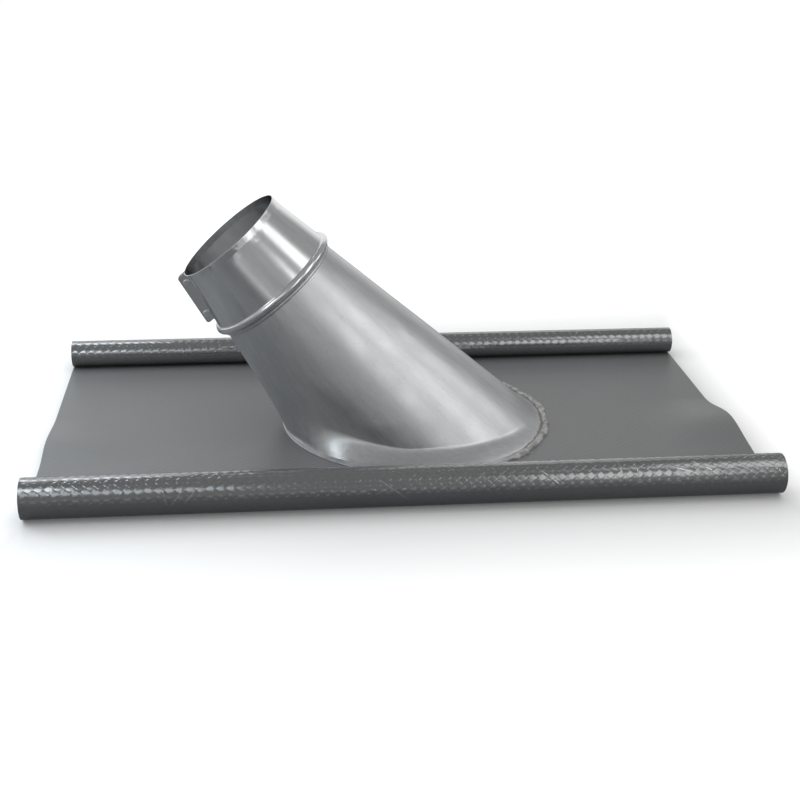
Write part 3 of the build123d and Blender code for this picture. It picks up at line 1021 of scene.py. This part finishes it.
# %% Soft boxes, each with its place, the point it faces, width, height, watts and colour
OBJECT_MIDDLE = (0, 0, 0.08)
NEUTRAL, COOL = (1, 1, 1), (0.88, 0.96, 1)
SOFT_BOXES = {
    "right_box": ((0.84, -0.4, 0.8), OBJECT_MIDDLE, 0.42, 0.95, 1.6, NEUTRAL),
    "right_strip": ((0.5, -0.85, 0.6), (0.3, 0.2, 0), 0.36, 0.5, 0.75, NEUTRAL),
    "right_foot": ((1.05, 0.18, 0.7), (0.15, -0.1, 0), 0.35, 0.35, 0.6, NEUTRAL),
    "left_strip": ((-0.43, -0.85, 0.64), (-0.3, 0.2, 0), 0.4, 0.2, 0.3, COOL),
    "left_box": ((-0.62, -0.42, 0.5), (-0.3, -0.1, 0), 0.25, 0.22, 0.55, COOL),
    "left_panel": ((-0.95, 0.45, 0.75), (-0.4, 0, 0), 0.8, 0.75, 1.6, COOL),
    "left_back": ((-0.62, 0.78, 0.95), (-0.42, -0.1, 0), 0.4, 0.3, 1.2, COOL),
    "left_fill": ((-1.0, 0.1, 0.45), (-0.4, -0.05, 0), 0.4, 0.4, 3, COOL),
    "top_fill": ((0, 0.3, 1.7), OBJECT_MIDDLE, 2, 2, 11, NEUTRAL),
}
for name, (place, target, width, height, watts, colour) in SOFT_BOXES.items():
    lamp = bpy.data.lights.new(name, "AREA")
    lamp.shape = "RECTANGLE"
    lamp.size = width
    lamp.size_y = height
    lamp.energy = watts
    lamp.color = colour
    holder = bpy.data.objects.new(name, lamp)
    way = Vector(target) - Vector(place)
    holder.matrix_world = Matrix.Translation(place) @ way.to_track_quat("-Z", "Y").to_matrix().to_4x4()
    holder.visible_camera = False
    holder.visible_glossy = not name.endswith("fill")
    bpy.context.scene.collection.objects.link(holder)
print(f"{len(SOFT_BOXES)} soft boxes")

# %% A dark cloth round the object and a grey board behind it, which only mirrors see
CARD_PLAIN_SHARE, CARD_FOLDS, CARD_ROUGHNESS = 0.7, 5, 0.9


def mirror_card(name, points, faces, dark, light, glow, tint=0):
    """A stage card that shows in mirrors alone, only from its front, and fades out towards its sides."""
    card = piece_from(name, points, faces)
    card.visible_camera = False
    card.visible_diffuse = False
    card.visible_shadow = False
    material, tree, surface = new_material(name)
    place = add(tree, "TexCoord", {}).outputs["Object"]
    folds = cloud(tree, place, CARD_FOLDS)
    shade = blend(tree, folds, grey(dark, tint), grey(light, tint))
    feed(tree, surface["Base Color"], shade)
    feed(tree, surface["Emission Color"], shade)
    surface["Emission Strength"].default_value = glow
    surface["Roughness"].default_value = CARD_ROUGHNESS
    behind = add(tree, "NewGeometry", {}).outputs["Backfacing"]
    left = min(point[0] for point in points)
    right = max(point[0] for point in points)
    along = add(tree, "SeparateXYZ", {"Vector": place}).outputs["X"]
    from_middle = calc(tree, "ABSOLUTE", calc(tree, "SUBTRACT", along, (left + right) / 2))
    half = (right - left) / 2
    fade = ramp(tree, from_middle, half * CARD_PLAIN_SHARE, half, 1, 0)
    feed(tree, surface["Alpha"], calc(tree, "MULTIPLY", fade, calc(tree, "SUBTRACT", 1, behind)))
    card.data.materials.append(material)


CLOTH_HALF = 12
CLOTH_HOLE_HALF = 0.24
CLOTH_DROP = 0.1 * MM
cloth_points = [(CLOTH_HALF * x, CLOTH_HALF * y, -CLOTH_DROP) for x, y in corners]
cloth_points += [(CLOTH_HOLE_HALF * x, CLOTH_HOLE_HALF * y, -CLOTH_DROP) for x, y in corners]
cloth_faces = [[side, (side + 1) % 4, (side + 1) % 4 + 4, side + 4] for side in range(4)]
mirror_card("cloth", cloth_points, cloth_faces, dark=0.1, light=0.13, glow=0.55, tint=-0.03)

BOARD_LEFT, BOARD_RIGHT = -4, 1.7
BOARD_TOP = 1.9
BOARD_BACK = 2.2
board_corners = [(BOARD_LEFT, 0), (BOARD_RIGHT, 0), (BOARD_RIGHT, BOARD_TOP), (BOARD_LEFT, BOARD_TOP)]
board_points = [(x, BOARD_BACK, z) for x, z in board_corners]
mirror_card("board", board_points, [[0, 1, 2, 3]], dark=0.6, light=0.7, glow=1)
print(f"board: {BOARD_RIGHT - BOARD_LEFT:.1f} by {BOARD_TOP} m")

# %% Floor finish
FLOOR_GREYS = (0.72, 0.74)
FLOOR_SMUDGES, FLOOR_ROUGHNESS = 3, 0.5
FLOOR_LIFT_NEAR, FLOOR_LIFT_FAR = 0.08, 0.75
FLOOR_END_RUN = 0.1
FLOOR_SIDE_RUN = 0.35
PIPE_GLOW, PIPE_GLOW_REACH = 0.25, 0.2
floor_white, tree, surface = new_material("floor_white")
place = add(tree, "TexCoord", {}).outputs["Object"]
smudge = cloud(tree, place, FLOOR_SMUDGES)
feed(tree, surface["Base Color"], blend(tree, smudge, *map(grey, FLOOR_GREYS)))
surface["Roughness"].default_value = FLOOR_ROUGHNESS
away = add(tree, "VectorMath", {0: place}, operation="LENGTH").outputs["Value"]
spot = add(tree, "SeparateXYZ", {"Vector": place}).outputs
past_end = calc(tree, "SUBTRACT", calc(tree, "ABSOLUTE", spot["X"]), sheet_high.x)
past_side = calc(tree, "SUBTRACT", calc(tree, "ABSOLUTE", spot["Y"]), sheet_high.y)
lift_end = ramp(tree, past_end, 0, FLOOR_END_RUN, FLOOR_LIFT_NEAR, FLOOR_LIFT_FAR)
lift_side = ramp(tree, past_side, 0, FLOOR_SIDE_RUN, FLOOR_LIFT_NEAR, FLOOR_LIFT_FAR)
lift = calc(tree, "MAXIMUM", lift_end, lift_side)
# Painted light: near the middle, under the pipe, the floor glows brighter so that the cone's inside looks
# lit.
painted_glow_spot = calc(tree, "LESS_THAN", away, PIPE_GLOW_REACH)
lift = calc(tree, "MULTIPLY_ADD", painted_glow_spot, PIPE_GLOW, lift)
rays = add(tree, "LightPath", {}).outputs
seen = calc(tree, "MAXIMUM", rays["Is Camera Ray"], rays["Is Glossy Ray"])
seen = calc(tree, "MAXIMUM", seen, rays["Is Transmission Ray"])
surface["Emission Color"].default_value = grey(1)
feed(tree, surface["Emission Strength"], calc(tree, "MULTIPLY", seen, lift))
floor.data.materials.append(floor_white)
print(f"{floor_white.name}: {len(tree.nodes)} nodes")

# %% Sky
SKY_LEVEL = 0.34
HORIZON_TOP = 0.08
sky = bpy.data.worlds.new("sky")
bpy.context.scene.world = sky
sky.use_nodes = True
tree = sky.node_tree
up = add(tree, "SeparateXYZ", {"Vector": add(tree, "TexCoord", {}).outputs["Generated"]}).outputs["Z"]
sky_strength = ramp(tree, up, 0, HORIZON_TOP, 1, SKY_LEVEL)
seen = add(tree, "LightPath", {}).outputs["Is Camera Ray"]
feed(tree, tree.nodes["Background"].inputs["Strength"], calc(tree, "MAXIMUM", sky_strength, seen))
tree.nodes["Background"].inputs["Color"].default_value = grey(1)
print(f"{sky.name}: {SKY_LEVEL} overhead, 1 at the horizon and for the camera")

# %% [markdown]
# ## Last update
# The last cell brings the view layer up to date.

# %% Finish
bpy.context.view_layer.update()
